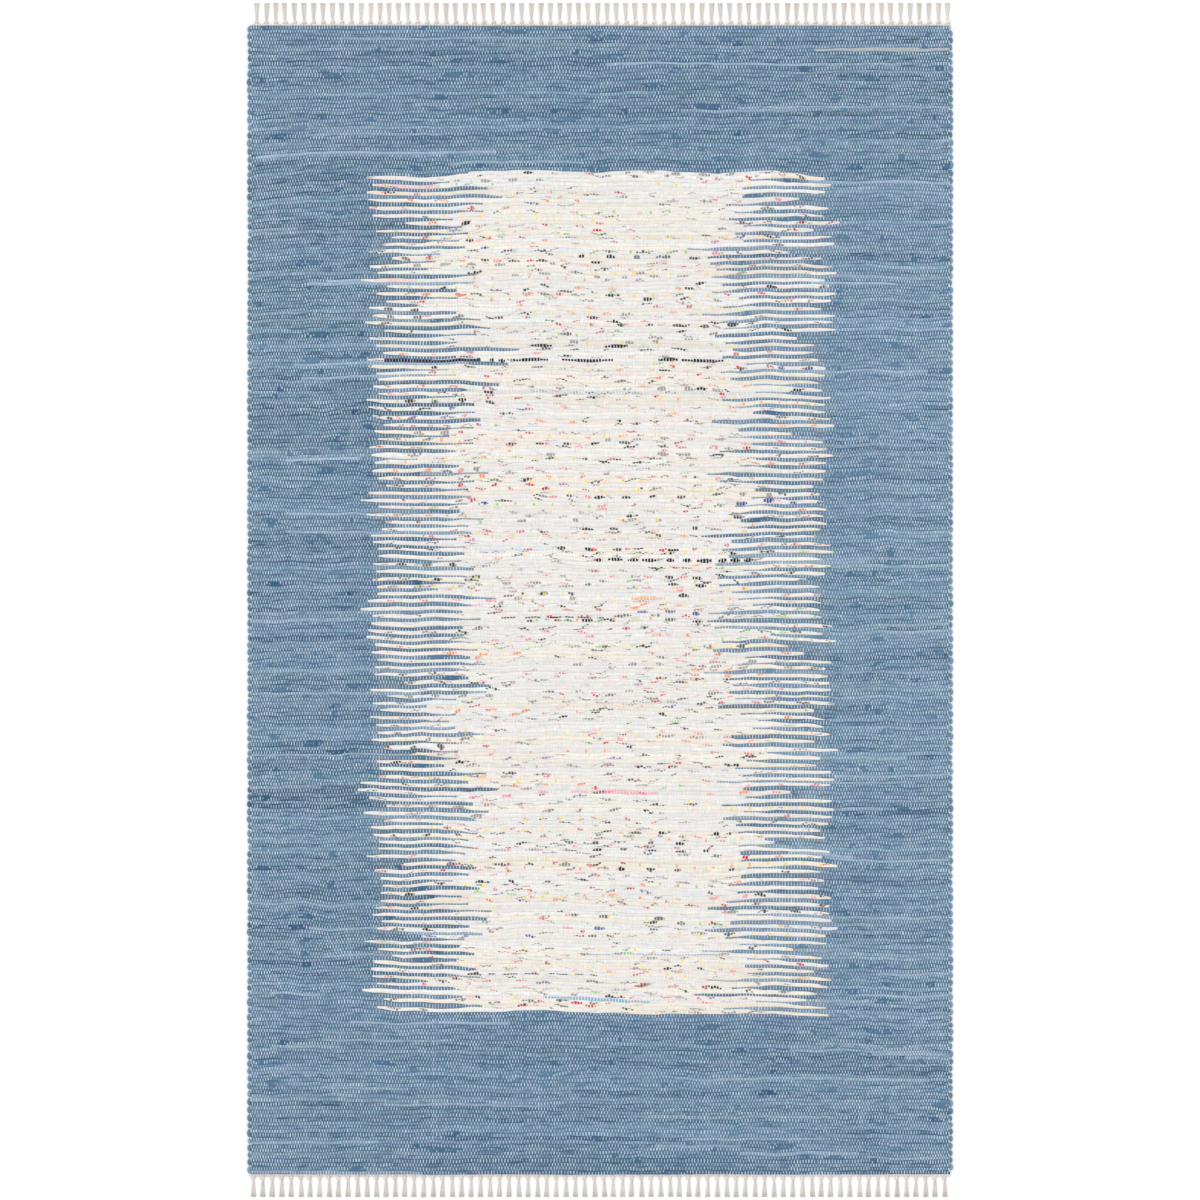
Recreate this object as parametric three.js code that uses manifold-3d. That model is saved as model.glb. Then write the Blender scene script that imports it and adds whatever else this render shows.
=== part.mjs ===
// Handwoven rag rug: one flat cloth of thick rag weft rows on a thin cotton warp, with the warp
// ends knotted into a tassel fringe at both ends. Millimetres, +Z up, +Y along the warp, lying on Z = 0.

import * as THREE from "three";
import { mergeVertices } from "three/addons/utils/BufferGeometryUtils.js";
import Module from "manifold-3d";

const wasm = await Module();
wasm.setup();

// Driving dimensions of the cloth
const RUG_WIDTH = 1524; // over the selvedge loops
const WOVEN_LENGTH = 2480; // between the two headers
const WEFT_ROWS = 314;
const CREST_HEIGHT = 6.2; // top of a weft row
const VALLEY_HEIGHT = 4.6; // groove between two weft rows
const LOOP_DEPTH = 3; // how far a weft loop stands out of the selvedge
const ROW_BOW = 5; // most that a row bows along the warp in the middle of the rug

// Driving dimensions of the fringe
const FRINGE_GAP = 0.3; // between the cloth and the header
const HEADER_DEPTH = 4.5; // twined row that holds the warp ends
const HEADER_HEIGHT = 3.2;
const TASSEL_COUNT = 74;
const TASSEL_PITCH = 20.46;
const TASSEL_LENGTH = 46;
const TASSEL_ROOT = 3; // how far a tassel reaches into the header
const TASSEL_TOP_SHARE = 0.55; // width of a tassel's back against its foot on the floor
const TIP_LEAN = 1.6; // most that a tassel's tip leans to one side
const TIP_TRIM = 1.2; // most that a tassel is cut short

// A tassel's sections: share of its length from the header, width on the floor and height
const TASSEL_SECTIONS = [
  { share: 0, width: 8.2, height: 2.8 }, // warp ends leaving the header
  { share: 0.07, width: 9.6, height: 5.2 }, // belly of the knot
  { share: 0.15, width: 8.2, height: 4.8 },
  { share: 0.22, width: 4.2, height: 3.4 }, // neck below the knot
  { share: 0.55, width: 7.4, height: 2.8 },
  { share: 1, width: 11.2, height: 1.8 }, // cut tip, spread on the floor
];

const weftMaterial = new THREE.MeshStandardMaterial({ color: 0x7b93a9, roughness: 0.95, metalness: 0 });
const warpMaterial = new THREE.MeshStandardMaterial({ color: 0xded7d1, roughness: 0.95, metalness: 0 });

// A repeatable number from -1 to 1 for the unevenness of handwork.
function uneven(index, kind) {
  const wave = Math.sin(index * 12.9898 + kind * 78.233) * 437.5853;
  return 2 * (wave - Math.floor(wave)) - 1;
}

function solidOf(geometry) {
  const bare = geometry.clone();
  bare.deleteAttribute("normal");
  bare.deleteAttribute("uv");
  const merged = mergeVertices(bare, 1e-4);
  return new wasm.Manifold(
    new wasm.Mesh({
      numProp: 3,
      vertProperties: new Float32Array(merged.attributes.position.array),
      triVerts: new Uint32Array(merged.index.array),
    }),
  );
}

function geometryOf(solid) {
  const { vertProperties, triVerts } = solid.getMesh();
  const geometry = new THREE.BufferGeometry();
  geometry.setAttribute("position", new THREE.BufferAttribute(vertProperties, 3));
  geometry.setIndex(new THREE.BufferAttribute(triVerts, 1));
  geometry.computeVertexNormals();
  return geometry;
}

// The cloth has two lines of points to each weft row: even lines lie in a groove, odd ones on a crest.
const CLOTH_LINES = 2 * WEFT_ROWS;
const LINE_PITCH = WOVEN_LENGTH / CLOTH_LINES;

// A weft turns back every second row, so its loops take up four lines: notch, swell, loop, swell.
const LOOP_SWELL = [0, 0.75, 1, 0.75];

function selvedge(line, side) {
  const atEnd = line === 0 || line === CLOTH_LINES;
  const phase = (line + (side > 0 ? 2 : 0)) % LOOP_SWELL.length;
  const reach = atEnd ? 0 : LOOP_SWELL[phase];
  return side * (RUG_WIDTH / 2 - LOOP_DEPTH * (1 - reach));
}

// How far a row's middle lies off its straight line: slow waves that die out at the two ends.
function bow(line) {
  const along = line / CLOTH_LINES;
  const waves = 0.6 * Math.sin(2 * Math.PI * 3.3 * along) + 0.4 * Math.sin(2 * Math.PI * 7.9 * along + 1);
  return ROW_BOW * waves * Math.sin(Math.PI * along);
}

// The woven cloth: a flat slab whose upper face is raised in its weft rows.
function wovenCloth() {
  const geometry = new THREE.BoxGeometry(RUG_WIDTH, WOVEN_LENGTH, CREST_HEIGHT, 2, CLOTH_LINES, 1);
  const points = geometry.getAttribute("position");
  for (let i = 0; i < points.count; i++) {
    const line = Math.round((points.getY(i) + WOVEN_LENGTH / 2) / LINE_PITCH);
    const side = Math.sign(Math.round(points.getX(i)));
    const above = points.getZ(i) > 0;
    const top = line % 2 === 1 ? CREST_HEIGHT : VALLEY_HEIGHT;
    const middle = line * LINE_PITCH - WOVEN_LENGTH / 2;
    if (side === 0) points.setXYZ(i, 0, middle + bow(line), above ? top : 0);
    else points.setXYZ(i, selvedge(line, side), middle, above ? top : 0);
  }
  geometry.computeVertexNormals();
  return geometry;
}

// One tassel, four-sided and lying flat, its root at Y = 0 and its tip along +Y.
function tassel(index, kind) {
  const geometry = new THREE.BoxGeometry(1, 1, 1, 1, TASSEL_SECTIONS.length - 1, 1);
  const points = geometry.getAttribute("position");
  const reach = TASSEL_LENGTH - TIP_TRIM * (1 + uneven(index, kind)) / 2;
  const lean = TIP_LEAN * uneven(index, kind + 1);
  for (let i = 0; i < points.count; i++) {
    const row = Math.round((points.getY(i) + 0.5) * (TASSEL_SECTIONS.length - 1));
    const { share, width, height } = TASSEL_SECTIONS[row];
    const above = points.getZ(i) > 0;
    const half = (width / 2) * (above ? TASSEL_TOP_SHARE : 1);
    const y = row === 0 ? -TASSEL_ROOT : share * reach;
    points.setXYZ(i, Math.sign(points.getX(i)) * half + lean * share, y, above ? height : 0);
  }
  return geometry;
}

// A header strip with its tassels, the strip's inner edge at Y = 0. shift moves the row of tassels
// along the strip, and kind sets its own unevenness.
function fringe(shift, kind) {
  const stripWidth = RUG_WIDTH - 4 * LOOP_DEPTH;
  const strip = new THREE.BoxGeometry(stripWidth, HEADER_DEPTH, HEADER_HEIGHT);
  strip.translate(0, HEADER_DEPTH / 2, HEADER_HEIGHT / 2);
  let joined = solidOf(strip);
  for (let index = 0; index < TASSEL_COUNT; index++) {
    const x = (index - (TASSEL_COUNT - 1) / 2) * TASSEL_PITCH + shift;
    joined = joined.add(solidOf(tassel(index, kind).translate(x, HEADER_DEPTH, 0)));
  }
  return geometryOf(joined);
}

function named(name, geometry, material) {
  const mesh = new THREE.Mesh(geometry, material);
  mesh.name = name;
  return mesh;
}

const rug = new THREE.Group();
rug.add(named("woven_cloth", wovenCloth(), weftMaterial));

const FRINGE_START = WOVEN_LENGTH / 2 + FRINGE_GAP;
const FRINGES = [
  { name: "fringe_far", turn: 0, shift: 4.7, kind: 3 },
  { name: "fringe_near", turn: Math.PI, shift: 2.2, kind: 11 },
];
for (const { name, turn, shift, kind } of FRINGES) {
  const end = new THREE.Group();
  end.rotation.z = turn;
  const mesh = named(name, fringe(shift, kind), warpMaterial);
  mesh.position.y = FRINGE_START;
  end.add(mesh);
  rug.add(end);
}

export default rug;
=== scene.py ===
"""Handwoven rag rug, seen from straight above: rag weft rows, the warp that binds them, and the fringe.

Lengths are in millimetres until a mesh is made. X runs along the weft rows, Y along the warp, Z up.
"""
import math
from dataclasses import dataclass, field

import bpy
import numpy as np
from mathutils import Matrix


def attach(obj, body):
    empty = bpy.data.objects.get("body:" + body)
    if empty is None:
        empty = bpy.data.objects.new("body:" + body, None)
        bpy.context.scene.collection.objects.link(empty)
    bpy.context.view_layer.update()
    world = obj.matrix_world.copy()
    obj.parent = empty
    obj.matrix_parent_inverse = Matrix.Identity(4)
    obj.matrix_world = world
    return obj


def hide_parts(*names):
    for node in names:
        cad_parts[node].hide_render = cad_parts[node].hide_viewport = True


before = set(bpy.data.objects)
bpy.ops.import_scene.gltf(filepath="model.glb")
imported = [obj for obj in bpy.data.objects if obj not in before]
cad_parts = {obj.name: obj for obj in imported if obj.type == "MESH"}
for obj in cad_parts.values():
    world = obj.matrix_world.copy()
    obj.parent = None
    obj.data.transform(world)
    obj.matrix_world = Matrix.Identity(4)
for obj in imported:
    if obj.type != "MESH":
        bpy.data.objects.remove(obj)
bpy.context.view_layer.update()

MM = 0.001
rng = np.random.default_rng(41)

# Sizes shared with the solids
RUG_WIDTH = 1524.0
WOVEN_LENGTH = 2480.0
WEFT_ROWS = 314
HEADER_DEPTH = 4.5
FRINGE_GAP = 0.3
TASSEL_COUNT = 74
TASSEL_PITCH = 20.46
TASSEL_LENGTH = 46.0
FAR_SHIFT = 4.7  # of the row of tassels along its header
NEAR_SHIFT = 2.2

# The weave
ROW_PITCH = WOVEN_LENGTH / WEFT_ROWS
ROW_END = RUG_WIDTH / 2 - 6.0  # where a weft row starts to turn back
WARP_ENDS = 479
WARP_SPAN = 1513.0
WARP_WIDTH = 2.4
WARP_WIDTH_IN_PALE = 2.0  # the soft pale rags close over the warp
REED_ENDS = 10  # warp ends in one dent of the reed
ROW_BOW = 5.0  # most that a row bows in the middle of the rug
ROW_EDGE_HEIGHT = 4.5  # height at which two rows meet
ROW_RISE = 1.05  # from there to the crest of a row of mean thickness
ROW_RISE_IN_PALE = 0.7
GRID_STEP = 8.0
GRID_X = np.linspace(-ROW_END, ROW_END, int(2 * ROW_END / GRID_STEP) + 1)
POINT_STEP = 18.0  # between two points of a weft row
POINT_GAP = 0.8  # least distance between them
ROW_HALF_WIDTH = 0.55  # in shares of its thickness, so that two rows overlap
COLUMNS = 3  # full-length pieces into which the rows and the warp stitches are cut
LANES = 4  # strips of faces across the top of a weft row
UNDER_LANES = 3  # strips of faces across its underside
RING = LANES + UNDER_LANES  # points round a weft row
ROW_UNDERSIDE = 0.15  # height of its underside

# The pale field: rows 44 to 273, longer in every second row
FIELD_FIRST = 44
FIELD_LAST = 273
FIELD_LONG = 489.0  # half width in the rows where the pale rag is long
FIELD_SHORT = 279.0  # half width in the rows between them
LONG_SPREAD = 14  # of the ends from row to row
SHORT_SPREAD = 34

# Where the rows leave their straight lines: places and reaches along the warp
ROW_SLOPE = -0.029
SLOPE_PLACE = -890.0
SLOPE_REACH = 260.0
LEFT_DROOP = 20.0  # the rows droop towards the left side
DROOP_PLACE = 850.0
DROOP_REACH = 230.0
DROOP_WIDTH = 130.0  # over which the droop dies out along the rows
DRIFT_ROWS = 30  # rows on either side over which the rows' slow drift is taken
DRIFT_HELD = 0.8  # share of the drift that the weaver beats out


def linear(rgb):
    """Scene-linear values of a colour given in 0 to 255 sRGB."""
    share = np.asarray(rgb, float) / 255
    return np.where(share <= 0.04045, share / 12.92, ((share + 0.055) / 1.055) ** 2.4)


# Rag colours, sRGB 0 to 255, with how often each is used and how long its pieces are
BLUE_RAGS = [
    # share, colour, shortest, longest
    (0.62, (82, 113, 138), 350, 1700),
    (0.13, (87, 115, 140), 250, 900),
    (0.11, (79, 113, 136), 250, 900),
    (0.08, (70, 100, 128), 150, 700),
    (0.06, (112, 136, 157), 100, 450),
]
PALE_RAGS = [
    (0.58, (232, 229, 226), 300, 1300),
    (0.25, (235, 227, 214), 250, 900),
    (0.11, (228, 226, 224), 200, 800),
    (0.03, (238, 227, 225), 120, 500),
    (0.015, (228, 235, 229), 120, 400),
    (0.015, (224, 230, 236), 120, 400),
]
BLUE_SPREAD = 9  # of the shade from rag to rag
PALE_SPREAD = 3
BORDER_KNOTS = 1.2  # knots to a metre of blue rag in the rows beyond the field
SIDE_KNOTS = 1.0  # and beside it
KNOT_SHADE = np.array([-2, 1, 5])  # a knot against its own rag
THIN_RAG = (126, 149, 170)  # a thin pale rag among the blue ones
THIN_RAG_CHANCE = 0.09  # how many rows have one on either side of the field
COMB_SHADE = np.array([11, 4, -2])  # the blue rags between the pale ones are greyer
RIGHT_SIDE_SHADE = 9  # the blue rags right of the field are a little lighter
LOOP_PAINTED_LIGHT = 28  # painted light: the rags are made paler where they turn at the sides, against the shade on the loops' round sides

# Prints on the pale rags, seen between the warp ends
INK_COLOURS = [
    # share, colour
    (0.62, (24, 23, 27)),
    (0.30, (150, 146, 146)),
    (0.04, (58, 76, 150)),
    (0.04, (104, 74, 130)),
]
WARM_COLOURS = [
    (0.40, (204, 38, 58)),
    (0.26, (236, 122, 140)),
    (0.18, (244, 142, 84)),
    (0.07, (188, 64, 140)),
    (0.09, (150, 204, 112)),
]
DOT_COLOURS = [
    (0.74, (250, 218, 66)),
    (0.16, (248, 156, 84)),
    (0.10, (160, 206, 104)),
]
STAIN_COLOURS = [
    (0.40, (240, 214, 208)),
    (0.34, (214, 210, 207)),
    (0.13, (212, 231, 218)),
    (0.13, (213, 221, 236)),
]
# Lengths along a row are in gaps between the warp ends that pass over it, heights in shares of the row
PRINTS = [
    # colours, length of a rag, printed rags, from stroke to stroke, printed strokes,
    # shortest stroke, longest stroke, half height, slope, unevenness, most fading
    (STAIN_COLOURS, 50, 0.35, 17, 0.50, 3, 11, 0.16, 0.15, 0.4, 0.5),
    (INK_COLOURS, 40, 0.55, 13, 0.55, 1.5, 5, 0.12, 0.25, 0.6, 0.6),
    (WARM_COLOURS, 45, 0.44, 11, 0.55, 1.5, 4, 0.24, 0.20, 0.6, 0.5),
    (INK_COLOURS, 55, 0.54, 11, 0.60, 2, 6, 0.21, 0.28, 0.7, 0.4),
    (INK_COLOURS, 60, 0.10, 9, 0.60, 2, 4, 0.38, 0.10, 0.3, 0.2),
    (DOT_COLOURS, 45, 0.14, 6, 0.75, 1, 1, 0.29, 0.0, 0.1, 0.5),
]

WARP_BELOW = (214, 214, 214)  # the warp ends on the underside
NAVY = (34, 38, 54)
BLACK = (36, 35, 38)

# Single rags that stand out. A line is one lane wide, a lens swells in its middle, dashes are short
# lines or lenses, a rag takes up the whole row, and a dark rag darkens the warp over it too.
ACCENTS = [
    # place along the warp, start along the row, end, colour, form
    (518, -492, -452, NAVY, "line"),
    (518, -466, -258, NAVY, "dark rag"),
    (518, -268, -205, NAVY, "dashes"),
    (518, -190, -112, NAVY, "lens"),
    (518, -82, 28, NAVY, "lens"),
    (518, 126, 168, NAVY, "lens"),
    (518, 176, 268, NAVY, "lens"),
    (550, -152, -104, NAVY, "lens"),
    (550, 8, 60, NAVY, "lens"),
    (889, -486, -353, (238, 194, 208), "rag"),
    (684, -486, -382, (240, 204, 196), "lens"),
    (87, -12, 330, BLACK, "dashes"),
    (6, -221, -138, (246, 190, 150), "line"),
    (6, 68, 135, (246, 176, 120), "lens"),
    (-32, -213, 53, BLACK, "fine dashes"),
    (-413, -64, 126, (240, 176, 186), "lens"),
    (-764, -31, 258, (150, 176, 206), "line"),
    (-801, -286, 12, BLACK, "fine dashes"),
    (-866, -122, 109, (132, 178, 212), "lens"),
    (1188, 466, 752, (172, 172, 174), "lens"),
    (1053, 390, 557, (78, 88, 100), "line"),
]


@dataclass
class Row:
    """One weft row: its rags, the marks on them and the knots that cover the warp."""

    rags: list = field(default_factory=list)  # (start, end, colour)
    marks: list = field(default_factory=list)  # (start, end, first lane, end lane, colour)
    knots: list = field(default_factory=list)  # (start, end)
    dark: list = field(default_factory=list)  # (start, end) where the rag darkens the warp
    changes: list = field(default_factory=list)  # Change of rag colour
    thin: list = field(default_factory=list)  # (start, end) of thin rags
    pale: tuple = (0.0, 0.0)  # start and end of the pale rags


@dataclass
class Change:
    """Where a blue rag meets a pale one, and how the row thins there."""

    place: float
    blue_taper: float
    pale_taper: float
    tail: float  # length of the thin end of the blue rag
    depth: float  # share of its thickness that the row loses


def pick_from(table):
    shares = np.array([line[0] for line in table])
    return table[rng.choice(len(table), p=shares / shares.sum())]


def rag_run(start, end, table, spread, lighter=0):
    """Rags from start to end, laid end to end."""
    rags = []
    at = start
    while at < end:
        _, colour, shortest, longest = pick_from(table)
        stop = min(at + rng.uniform(shortest, longest), end)
        shade = lighter + rng.normal(0, spread)
        tint = rng.normal(0, spread / 8, 3)
        rags.append((at, stop, np.clip(np.array(colour) + shade + tint, 0, 255)))
        at = stop
    return rags


def add_lens(row, start, end, colour):
    """A mark that is thin at its ends and as wide as the row in its middle."""
    length = end - start
    row.marks.append((start, end, 1, 3, colour))
    row.marks.append((start + 0.28 * length, end - 0.22 * length, 0, LANES, colour))


def add_knots(row, start, end, often):
    """Knots and doubled ends of blue rag, darker and thick enough to hide the warp."""
    for _ in range(rng.poisson(often * (end - start) / 1000)):
        at = rng.uniform(start, end)
        stop = min(at + 6 + rng.exponential(8), end)
        row.knots.append((at, stop))
        rag = next(rag for rag in row.rags if rag[0] <= at <= rag[1])
        colour = rag[2] + KNOT_SHADE + rng.normal(0, 4)
        add_lens(row, at, stop, colour)


def plan_row(number):
    row = Row()
    if not FIELD_FIRST <= number <= FIELD_LAST:
        row.rags = rag_run(-ROW_END, ROW_END, BLUE_RAGS, BLUE_SPREAD)
        add_knots(row, -ROW_END, ROW_END, BORDER_KNOTS)
        return row
    long_row = number % 2 == 0
    ends = []
    for side in (-1, 1):
        if long_row:
            reach = FIELD_LONG + rng.normal(0, LONG_SPREAD) - 90 * (rng.random() < 0.08) * rng.random()
            blue_taper = rng.uniform(10, 20)
            pale_taper = rng.uniform(8, 36)
            change = Change(side * reach, blue_taper, pale_taper, 0, rng.uniform(0.5, 0.72))
        else:
            reach = FIELD_SHORT + rng.normal(0, SHORT_SPREAD) + 45 * (rng.random() < 0.12)
            tail = rng.uniform(12, 70) * (rng.random() < 0.6)
            depth = rng.uniform(0.6, 0.72) if tail else rng.uniform(0.3, 0.6)
            change = Change(side * reach, rng.uniform(15, 50), rng.uniform(15, 40), tail, depth)
        row.changes.append(change)
        ends.append(side * reach)
    left, right = ends
    row.pale = (left, right)
    row.rags = rag_run(-ROW_END, left, BLUE_RAGS, BLUE_SPREAD)
    row.rags += rag_run(left, right, PALE_RAGS, PALE_SPREAD)
    row.rags += rag_run(right, ROW_END, BLUE_RAGS, BLUE_SPREAD, RIGHT_SIDE_SHADE)
    add_knots(row, -ROW_END, left, SIDE_KNOTS)
    add_knots(row, right, ROW_END, SIDE_KNOTS)
    return row


rows = [plan_row(number) for number in range(WEFT_ROWS)]


def add_thin_rags():
    for row in rows:
        for start, end in [(-ROW_END, row.pale[0]), (row.pale[1], ROW_END)]:
            at = rng.uniform(start, end)
            stop = min(at + rng.uniform(100, 600), end)
            if rng.random() < THIN_RAG_CHANCE:
                colour = np.array(THIN_RAG) + rng.normal(0, 10)
                row.marks.append((at, stop, 0, LANES, colour))
                row.thin.append((at, stop))


add_thin_rags()


def smooth_noise(count, reach):
    """Rows of smooth random values along GRID_X that change over about reach millimetres."""
    knots = rng.normal(size=(count, int(2 * ROW_END / reach) + 3))
    place = (GRID_X - GRID_X[0]) / reach + rng.random((count, 1))
    first = place.astype(int)
    share = place - first
    share = share * share * (3 - 2 * share)
    low = np.take_along_axis(knots, first, 1)
    high = np.take_along_axis(knots, first + 1, 1)
    return low + (high - low) * share


def bow(along):
    """How far the middle of a row lies off its line, as in the solids. along runs from 0 to 1."""
    waves = 0.6 * np.sin(2 * np.pi * 3.3 * along) + 0.4 * np.sin(2 * np.pi * 7.9 * along + 1)
    return ROW_BOW * waves * np.sin(np.pi * along)


def row_thickness():
    """Thickness of each row along GRID_X, as a share of the mean."""
    thick = 1 + 0.09 * smooth_noise(WEFT_ROWS, 170) + 0.05 * smooth_noise(WEFT_ROWS, 45)
    for number, row in enumerate(rows):
        for start, end, _ in row.rags:
            inside = (GRID_X >= start) & (GRID_X < end)
            thick[number, inside] *= 1 + rng.normal(0, 0.09)
        for start, end in row.knots:
            middle = (start + end) / 2
            thick[number] *= 1 + 0.25 * np.exp(-(((GRID_X - middle) / (end - start + 6)) ** 2))
        for start, end in row.thin:
            inside = (GRID_X >= start) & (GRID_X < end)
            thick[number, inside] *= 0.75
    return thick.clip(0.5, 1.6)


def row_losses(thick):
    """What each row loses where its rags change colour. The rows beside it take it up."""
    lost = np.zeros_like(thick)
    for number, row in enumerate(rows):
        for change in row.changes:
            outward = (GRID_X - change.place) * np.sign(change.place)
            blue_side = (outward - change.tail) / change.blue_taper
            pale_side = -outward / change.pale_taper
            taper = np.where(outward > 0, blue_side, pale_side).clip(0, 1)
            lost[number] = np.maximum(lost[number], change.depth * (1 - taper) ** 1.2)
    return lost * thick


def near(places, middle, reach):
    """A smooth hump of 1 at middle."""
    return np.exp(-(((places - middle) / reach) ** 2))


def row_edges():
    """The line between each row and the next along GRID_X."""
    thick = row_thickness()
    lost = row_losses(thick)
    thick -= lost
    thick[1:] += lost[:-1] / 2
    thick[:-1] += lost[1:] / 2
    edges = np.vstack([np.zeros_like(GRID_X), np.cumsum(thick, axis=0)])
    edges *= WOVEN_LENGTH / edges[-1]
    straight = np.linspace(0, WOVEN_LENGTH, WEFT_ROWS + 1)[:, None]
    window = np.hanning(2 * DRIFT_ROWS + 1)
    drift = np.pad(edges - straight, ((DRIFT_ROWS, DRIFT_ROWS), (0, 0)))
    slow = np.apply_along_axis(np.convolve, 0, drift, window / window.sum(), "valid")
    edges = edges - DRIFT_HELD * slow
    along = straight / WOVEN_LENGTH
    place = straight - WOVEN_LENGTH / 2
    held = np.sin(np.pi * along).clip(0, 1) ** 0.5
    slope = ROW_SLOPE * near(place, SLOPE_PLACE, SLOPE_REACH) * held
    bowed = bow(along) * (1 - np.abs(GRID_X) / (RUG_WIDTH / 2))
    droop = LEFT_DROOP * near(place, DROOP_PLACE, DROOP_REACH) * held
    drooped = droop * np.exp(-(GRID_X + ROW_END) / DROOP_WIDTH)
    return edges - WOVEN_LENGTH / 2 + slope * GRID_X + bowed - drooped


EDGES = row_edges()


def accent_row(along, start, end):
    """The row nearest to a place along the warp, or the pale one beside it."""
    middle = np.searchsorted(GRID_X, (start + end) / 2)
    off = np.abs((EDGES[1:, middle] + EDGES[:-1, middle]) / 2 - along)
    off += [0 if row.pale[0] - 10 < start and end < row.pale[1] + 10 else ROW_PITCH for row in rows]
    return rows[off.argmin()]


def add_dashes(row, start, end, colour, fine):
    at = start
    while at < end:
        stop = min(at + rng.uniform(10, 34), end)
        if fine:
            row.marks.append((at, stop, 1, 2, colour))
        else:
            add_lens(row, at, stop, colour)
        at = stop + rng.uniform(5, 22)


def add_accents():
    for along, start, end, colour, form in ACCENTS:
        row = accent_row(along, start, end)
        colour = np.array(colour)
        if form == "lens":
            add_lens(row, start, end, colour)
        elif form == "line":
            row.marks.append((start, end, 1, 2, colour))
        elif form in ("dashes", "fine dashes"):
            add_dashes(row, start, end, colour, form == "fine dashes")
        elif form == "rag":
            row.marks.append((start, end, 0, LANES, colour))
        else:
            middle = (start + end) / 2
            row.marks.append((start, middle, 0, LANES, colour))
            row.marks.append((middle, end, 0, 3, colour))
            row.dark.append((start, end))


add_accents()


def row_at(number, x):
    """Middle and thickness of a row at the places x."""
    low = np.interp(x, GRID_X, EDGES[number])
    high = np.interp(x, GRID_X, EDGES[number + 1])
    return (low + high) / 2, high - low


def crest_height(row, x, thick):
    pale = (x > row.pale[0]) & (x < row.pale[1])
    rise = np.where(pale, ROW_RISE_IN_PALE, ROW_RISE)
    return ROW_EDGE_HEIGHT + rise * (thick / ROW_PITCH).clip(0.25, 1.35)


def make_piece(name, points, faces, colours, maps, material):
    """A smooth mesh of quads or triangles with one colour to each face corner, riding on the rug."""
    faces = np.asarray(faces)
    mesh = bpy.data.meshes.new(name)
    mesh.vertices.add(len(points))
    mesh.vertices.foreach_set("co", (np.asarray(points) * MM).astype(np.float32).ravel())
    mesh.loops.add(faces.size)
    mesh.loops.foreach_set("vertex_index", faces.astype(np.int32).ravel())
    mesh.polygons.add(len(faces))
    mesh.polygons.foreach_set("loop_start", np.arange(len(faces), dtype=np.int32) * faces.shape[1])
    mesh.update(calc_edges=True)
    mesh.polygons.foreach_set("use_smooth", np.ones(len(faces), bool))
    shade = mesh.color_attributes.new("shade", "FLOAT_COLOR", "CORNER")
    corners = np.ones((faces.size, 4), np.float32)
    corners[:, :3] = colours.reshape(-1, 3)
    shade.data.foreach_set("color", corners.ravel())
    for map_name, places in maps.items():
        layer = mesh.uv_layers.new(name=map_name, do_init=False)
        layer.uv.foreach_set("vector", places.reshape(-1, 2).astype(np.float32).ravel())
    mesh.materials.append(material)
    piece = bpy.data.objects.new(name, mesh)
    bpy.context.scene.collection.objects.link(piece)
    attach(piece, "root")
    return piece


class Nodes:
    """Short helpers to write a material's node tree."""

    def __init__(self, name):
        self.material = bpy.data.materials.new(name)
        self.material.use_nodes = True
        self.tree = self.material.node_tree
        self.shader = self.tree.nodes["Principled BSDF"]

    def add(self, kind, **settings):
        node = self.tree.nodes.new("ShaderNode" + kind)
        for key, value in settings.items():
            setattr(node, key, value)
        return node

    def link(self, source, target):
        self.tree.links.new(source, target)

    def put(self, socket, value):
        if isinstance(value, bpy.types.NodeSocket):
            self.link(value, socket)
        else:
            socket.default_value = value

    def math(self, operation, *values):
        node = self.add("Math", operation=operation)
        for socket, value in zip(node.inputs, values):
            self.put(socket, value)
        return node.outputs[0]

    def mix(self, share, first, second, blend="MIX"):
        node = self.add("Mix", data_type="RGBA", blend_type=blend)
        self.put(node.inputs["Factor"], share)
        self.put(node.inputs[6], first)
        self.put(node.inputs[7], second)
        return node.outputs[2]

    def random(self, first, second, seed):
        """A random number to each pair of whole numbers, and a colour whose green and blue are more."""
        node = self.add("TexWhiteNoise", noise_dimensions="3D")
        pair = self.add("CombineXYZ")
        for socket, value in zip(pair.inputs, (first, second, seed)):
            self.put(socket, value)
        self.link(pair.outputs[0], node.inputs["Vector"])
        return node.outputs["Value"], node.outputs["Color"]

    def split(self, colour):
        node = self.add("SeparateColor")
        self.link(colour, node.inputs[0])
        return node.outputs[:3]

    def pick(self, value, table):
        """The colour that a number from 0 to 1 picks from a table of shares and colours."""
        node = self.add("ValToRGB")
        ramp = node.color_ramp
        ramp.interpolation = "CONSTANT"
        total = sum(share for share, _ in table)
        at = 0.0
        for number, (share, colour) in enumerate(table):
            step = ramp.elements[0] if number == 0 else ramp.elements.new(at)
            step.color = (*linear(colour), 1)
            at += share / total
        ramp.elements.remove(ramp.elements[-1])
        self.link(value, node.inputs[0])
        return node.outputs[0]

    def noise(self, scale, detail, where, output="Fac"):
        node = self.add("TexNoise")
        node.inputs["Scale"].default_value = scale
        node.inputs["Detail"].default_value = detail
        self.link(where, node.inputs["Vector"])
        return node.outputs[output]

    def grey(self, value):
        node = self.add("CombineColor")
        for socket in node.inputs[:3]:
            self.link(value, socket)
        return node.outputs[0]

    def colour(self, name):
        return self.add("VertexColor", layer_name=name).outputs["Color"]

    def matt(self, roughness):
        self.shader.inputs["Roughness"].default_value = roughness
        self.shader.inputs["Specular IOR Level"].default_value = 0.12
        self.shader.inputs["Sheen Weight"].default_value = 0.08

    def bump(self, height, strength, distance):
        node = self.add("Bump")
        node.inputs["Strength"].default_value = strength
        node.inputs["Distance"].default_value = distance
        self.link(height, node.inputs["Height"])
        self.link(node.outputs["Normal"], self.shader.inputs["Normal"])


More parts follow.
